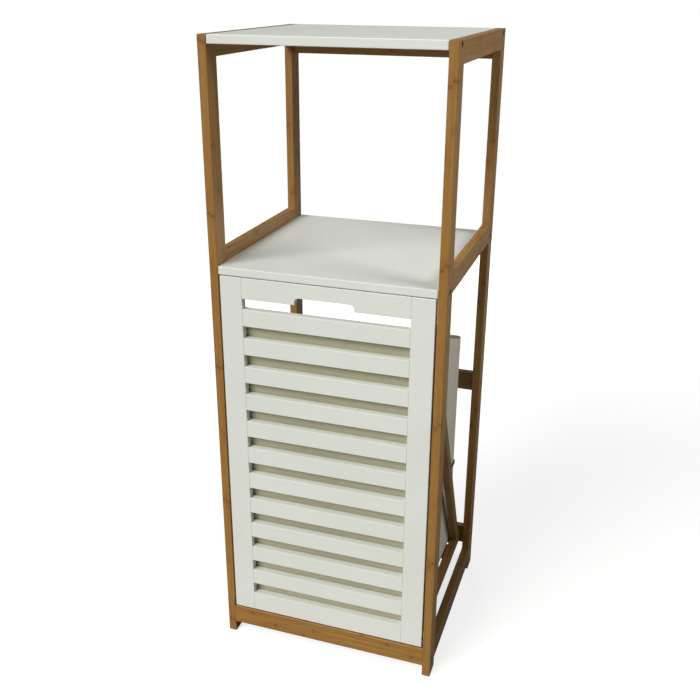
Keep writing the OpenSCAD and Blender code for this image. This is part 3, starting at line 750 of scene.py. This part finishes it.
def make_tape(finish):
    """Hook-and-loop tape on the door's back: round corners, soft edges, a shallow wave along it."""
    low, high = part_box("hook_and_loop_tape")
    size = high - low
    bm = bmesh.new()
    bmesh.ops.create_cube(bm, size=1)
    bmesh.ops.scale(bm, vec=size, verts=bm.verts)
    bmesh.ops.translate(bm, vec=(low + high) / 2, verts=bm.verts)
    rounded_off(bm, [e for e in bm.edges if abs(e.verts[0].co.y - e.verts[1].co.y) > size.y / 2], 0.003, 4)
    rounded_off(bm, [e for e in bm.edges if e.calc_face_angle() > SHARP * 2], 0.0003, 2)
    long_edges = [e for e in bm.edges if e.calc_length() > size.x / 2]
    bmesh.ops.subdivide_edges(bm, edges=long_edges, cuts=30, use_grid_fill=True)
    for vert in bm.verts:
        if vert.co.y > high.y - 0.0002:
            vert.co.y -= 0.00025 * (1 + math.sin(vert.co.x * 95 + math.sin(vert.co.x * 31)))
    sew_panels(bm)
    finished(bm, "sewn_tape", "hamper", finish, ["hook_and_loop_tape"])


# ---- Put together -----------------------------------------------------------------------

place_camera()
light_the_room()
lay_floor()

upright = bamboo("bamboo_upright", (0, 0, 0))
front_to_back = bamboo("bamboo_front_to_back", (math.pi / 2, 0, 0))
crosswise = bamboo("bamboo_crosswise", (0, math.pi / 2, 0))
brace_low, brace_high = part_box("brace_right")
brace_lean = math.atan2(brace_high.y - brace_low.y, brace_high.z - brace_low.z)
# Painted shade: the braces, back posts, base bars and back rails get bamboo copies darkened by a factor, for
# the shade they stand in.
along_brace_painted_shade = bamboo("bamboo_along_brace", (-brace_lean, 0, 0), 0.72)
rear_upright_painted_shade = bamboo("bamboo_rear_upright", (0, 0, 0), 0.86)
base_lengthwise_painted_shade = bamboo("bamboo_base_lengthwise", (math.pi / 2, 0, 0), 0.62)
base_crosswise_painted_shade = bamboo("bamboo_base_crosswise", (0, math.pi / 2, 0), 0.72)
paint = white_paint()
zinc = metal("zinc_plate", (0.62, 0.62, 0.63), (0.48, 0.48, 0.5), 0.28, 0.42)
dark_bolt = metal("browned_bolts", (0.12, 0.095, 0.075), (0.07, 0.055, 0.045), 0.34, 0.5)
plastic = nylon()
turned = beech()

for kept, finish in {
    upright: ["post_front_left", "post_front_right"],
    rear_upright_painted_shade: ["post_back_left", "post_back_right"],
    front_to_back: ["top_rail_left", "top_rail_right", "middle_rail_left", "middle_rail_right"],
    base_lengthwise_painted_shade: ["bottom_rail_left", "bottom_rail_right", "base_bar_left", "base_bar_right"],
    crosswise: ["front_bottom_rail", "back_top_rail"],
    base_crosswise_painted_shade: ["back_middle_rail", "back_bottom_rail", "base_front_bar", "base_rear_bar"],
    turned: ["side_frame_dowels", "cross_rail_dowels", "stop_pegs", "door_dowels"],
    dark_bolt: ["frame_bolts"],
    zinc: [
        "barrel_nuts", "catch_screws", "pivot_pins", "strike_plate", "strike_screw",
        "base_screws", "brace_screws", "strap_screws",
    ],
    plastic: ["pivot_bushes", "catch_body"],
    magnet_and_poles(): ["catch_magnet"],
}.items():
    for name in finish:
        for material_slot in nodes[name].material_slots:
            material_slot.material = kept

for node in ("top_shelf", "middle_shelf"):
    eased(node, "painted_" + node, "frame", paint, 0.0009)
door_boards = ["door_stile_left", "door_stile_right", "door_top_rail", "door_bottom_rail"]
for node in door_boards + [f"slat_{i:02d}" for i in range(1, 12)]:
    eased(node, "painted_" + node, "hamper", paint, 0.0006)
# Painted shade: the braces and base slats take the darkened bamboo copies.
for node in ("brace_left", "brace_right"):
    eased(node, "eased_" + node, "hamper", along_brace_painted_shade, 0.001)
eased("base_slats", "eased_base_slats", "hamper", base_crosswise_painted_shade, 0.0008)

make_bag(bag_cloth())
make_stitching(thread())
make_strap(webbing())
make_tape(loop_tape())
